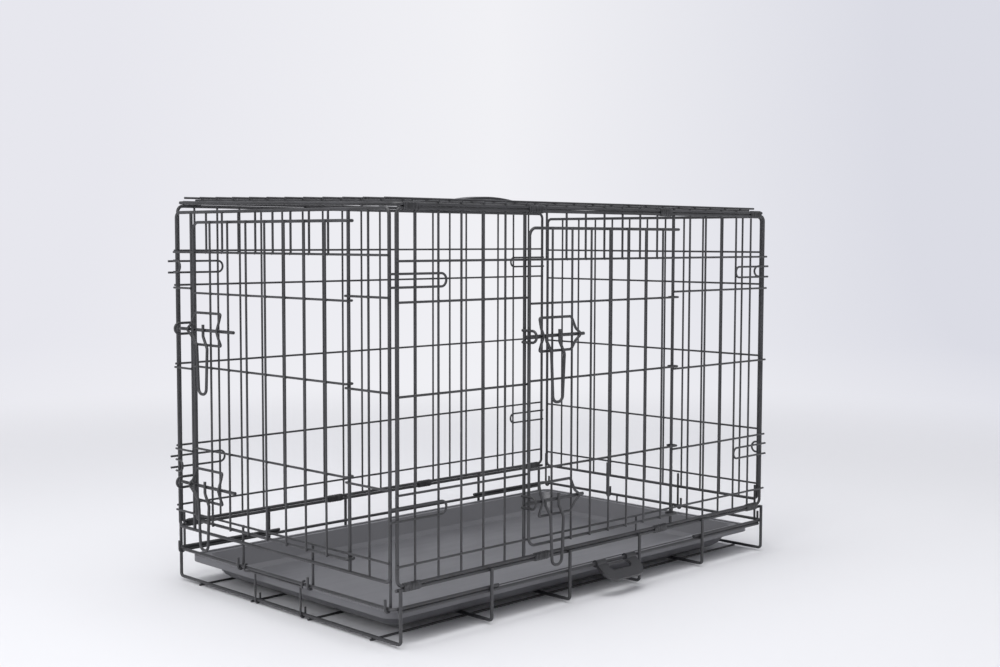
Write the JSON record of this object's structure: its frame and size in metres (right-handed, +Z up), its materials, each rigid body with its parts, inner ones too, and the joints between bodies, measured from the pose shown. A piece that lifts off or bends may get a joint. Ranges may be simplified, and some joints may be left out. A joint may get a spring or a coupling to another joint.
{
  "type": "pet crate",
  "caption": "Free-standing folding wire pet crate with a side door and an end door, slide-bolt latches, a lift-out moulded pan and plastic carry handles.",
  "frame": {"origin": "middle of the crate's plan, between its frame rods, on the floor", "axes": "+X along the crate to the plain end, +Y from the side with the door to the plain side, +Z up"},
  "size_m": [0.7955, 0.5068, 0.5519],
  "materials": {
    "black_coated_wire": "satin electro-coated steel wire",
    "black_sheet_clip": "satin coated ribbed sheet steel",
    "black_moulded_tray": "fine-grained moulded polymer",
    "black_plastic_grip": "smooth moulded polymer"
  },
  "bodies": {
    "base": {"base_long_rails": "black_coated_wire", "base_end_rails": "black_coated_wire", "base_feet": "black_coated_wire", "base_floor_wires": "black_coated_wire", "base_pan_posts": "black_coated_wire", "near_side_base_clips": "black_sheet_clip", "far_side_base_clips": "black_sheet_clip"},
    "pan_tray": {"pan": "black_moulded_tray"},
    "pan_gate": {"pan_stop": "black_coated_wire"},
    "drop_handle": {"base_carry_handle": "black_plastic_grip"},
    "near_side": {"near_side_frame": "black_coated_wire", "near_side_uprights": "black_coated_wire", "near_side_cross_wires": "black_coated_wire", "near_side_catch_loops": "black_coated_wire", "near_side_opening_posts": "black_coated_wire", "near_side_sill_wires": "black_coated_wire", "near_side_keepers": "black_coated_wire", "top_hinge_clips": "black_sheet_clip"},
    "far_side": {"far_side_frame": "black_coated_wire", "far_side_uprights": "black_coated_wire", "far_side_cross_wires": "black_coated_wire", "far_side_catch_loops": "black_coated_wire"},
    "roof": {"top_frame": "black_coated_wire", "top_cross_wires": "black_coated_wire", "top_long_wires": "black_coated_wire", "top_snap_clips": "black_sheet_clip", "top_carry_handle": "black_plastic_grip"},
    "near_end": {"near_end_frame": "black_coated_wire", "near_end_uprights": "black_coated_wire", "near_end_cross_wires": "black_coated_wire", "near_end_rail_hooks": "black_coated_wire", "near_end_catch_loops": "black_coated_wire", "near_end_opening_posts": "black_coated_wire", "near_end_keepers": "black_coated_wire"},
    "far_end": {"far_end_frame": "black_coated_wire", "far_end_uprights": "black_coated_wire", "far_end_cross_wires": "black_coated_wire", "far_end_rail_hooks": "black_coated_wire", "far_end_catch_loops": "black_coated_wire"},
    "side_door": {"side_door_frame": "black_coated_wire", "side_door_cross_wires": "black_coated_wire", "side_door_uprights": "black_coated_wire", "side_door_hinge_loops": "black_coated_wire", "side_door_bolt_guides": "black_coated_wire"},
    "side_door_upper_bolt": {"side_door_upper_bolt": "black_coated_wire"},
    "side_door_upper_pull": {"side_door_upper_pull": "black_coated_wire"},
    "side_door_lower_bolt": {"side_door_lower_bolt": "black_coated_wire"},
    "side_door_lower_pull": {"side_door_lower_pull": "black_coated_wire"},
    "end_door": {"end_door_frame": "black_coated_wire", "end_door_cross_wires": "black_coated_wire", "end_door_uprights": "black_coated_wire", "end_door_hinge_loops": "black_coated_wire", "end_door_bolt_guides": "black_coated_wire"},
    "end_door_upper_bolt": {"end_door_upper_bolt": "black_coated_wire"},
    "end_door_upper_pull": {"end_door_upper_pull": "black_coated_wire"},
    "end_door_lower_bolt": {"end_door_lower_bolt": "black_coated_wire"},
    "end_door_lower_pull": {"end_door_lower_pull": "black_coated_wire"}
  },
  "joints": [
    {"name": "near_side_fold", "type": "hinge", "parent": "base", "child": "near_side", "pos_m": [0, -0.236, 0.0752], "axis": [1, 0, 0], "range_deg": [0, 90]},
    {"name": "far_side_fold", "type": "hinge", "parent": "base", "child": "far_side", "pos_m": [0, 0.236, 0.0842], "axis": [1, 0, 0], "range_deg": [-90, 0]},
    {"name": "roof_lift", "type": "hinge", "parent": "near_side", "child": "roof", "pos_m": [0, -0.236, 0.5302], "axis": [1, 0, 0], "range_deg": [0, 100]},
    {"name": "near_end_fold", "type": "hinge", "parent": "base", "child": "near_end", "pos_m": [-0.38125, 0, 0.048], "axis": [0, 1, 0], "range_deg": [0, 85]},
    {"name": "far_end_fold", "type": "hinge", "parent": "base", "child": "far_end", "pos_m": [0.38125, 0, 0.048], "axis": [0, -1, 0], "range_deg": [0, 70]},
    {"name": "side_door_swing", "type": "hinge", "parent": "near_side", "child": "side_door", "pos_m": [0.1493, -0.236, 0.3], "axis": [0, 0, -1], "range_deg": [-145, 0]},
    {"name": "end_door_swing", "type": "hinge", "parent": "near_end", "child": "end_door", "pos_m": [-0.381, -0.154, 0.3], "axis": [0, 0, -1], "range_deg": [-145, 0]},
    {"name": "pan_lift", "type": "slide", "parent": "base", "child": "pan_tray", "axis": [0, 0, -1], "range_m": [-0.045, 0]},
    {"name": "pan_gate_drop", "type": "hinge", "parent": "base", "child": "pan_gate", "pos_m": [-0.37375, 0, 0.00525], "axis": [0, -1, 0], "range_deg": [0, 90]},
    {"name": "drop_handle_lift", "type": "hinge", "parent": "base", "child": "drop_handle", "pos_m": [0.024, -0.236, 0.0435], "axis": [-1, 0, 0], "range_deg": [0, 60]},
    {"name": "side_door_upper_bolt_slide", "type": "slide", "parent": "side_door", "child": "side_door_upper_bolt", "axis": [1, 0, 0], "range_m": [0, 0.013]},
    {"name": "side_door_upper_pull_turn", "type": "hinge", "parent": "side_door_upper_bolt", "child": "side_door_upper_pull", "pos_m": [-0.116, -0.25142, 0.3646], "axis": [1, 0, 0], "range_deg": [-90, 0]},
    {"name": "end_door_upper_bolt_slide", "type": "slide", "parent": "end_door", "child": "end_door_upper_bolt", "axis": [0, -1, 0], "range_m": [0, 0.013]},
    {"name": "end_door_upper_pull_turn", "type": "hinge", "parent": "end_door_upper_bolt", "child": "end_door_upper_pull", "pos_m": [-0.39642, 0.1383, 0.3646], "axis": [0, -1, 0], "range_deg": [-90, 0]},
    {"name": "side_door_lower_bolt_slide", "type": "slide", "parent": "side_door", "child": "side_door_lower_bolt", "axis": [1, 0, 0], "range_m": [0, 0.013]},
    {"name": "side_door_lower_pull_turn", "type": "hinge", "parent": "side_door_lower_bolt", "child": "side_door_lower_pull", "pos_m": [-0.116, -0.25142, 0.1496], "axis": [1, 0, 0], "range_deg": [-90, 0]},
    {"name": "end_door_lower_bolt_slide", "type": "slide", "parent": "end_door", "child": "end_door_lower_bolt", "axis": [0, -1, 0], "range_m": [0, 0.013]},
    {"name": "end_door_lower_pull_turn", "type": "hinge", "parent": "end_door_lower_bolt", "child": "end_door_lower_pull", "pos_m": [-0.39642, 0.1383, 0.1496], "axis": [0, -1, 0], "range_deg": [-90, 0]}
  ]
}
